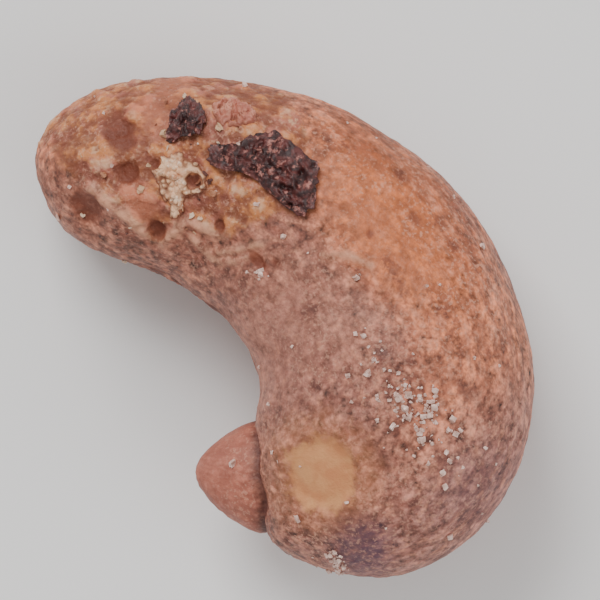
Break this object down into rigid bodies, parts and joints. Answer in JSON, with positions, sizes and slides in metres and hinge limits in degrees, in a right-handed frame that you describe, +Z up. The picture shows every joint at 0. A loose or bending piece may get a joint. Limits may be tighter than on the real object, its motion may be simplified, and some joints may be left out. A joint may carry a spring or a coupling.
{
  "type": "cashew nut",
  "caption": "Whole roasted cashew kernel in its thin brown skin, kidney-shaped, lying on its broad side, with crumpled scraps stuck to its thin lobe.",
  "frame": {"origin": "on the resting surface, under the middle of the bounding box", "axes": "+X along the nut towards its thick lobe, +Y towards the rounded back with the notch opening to -Y, +Z up out of the broad side that faces the viewer"},
  "size_m": [0.0288, 0.0188, 0.0126],
  "materials": {
    "skin": "matte",
    "dark_flake": "satin",
    "pale_crumb": "matte",
    "pink_scrap": "matte"
  },
  "bodies": {
    "root": {"cashew_nut": "skin", "dark_flake_large": "dark_flake", "dark_flake_small": "dark_flake", "pale_crumbs": "pale_crumb", "pink_scrap": "pink_scrap"}
  },
  "joints": []
}
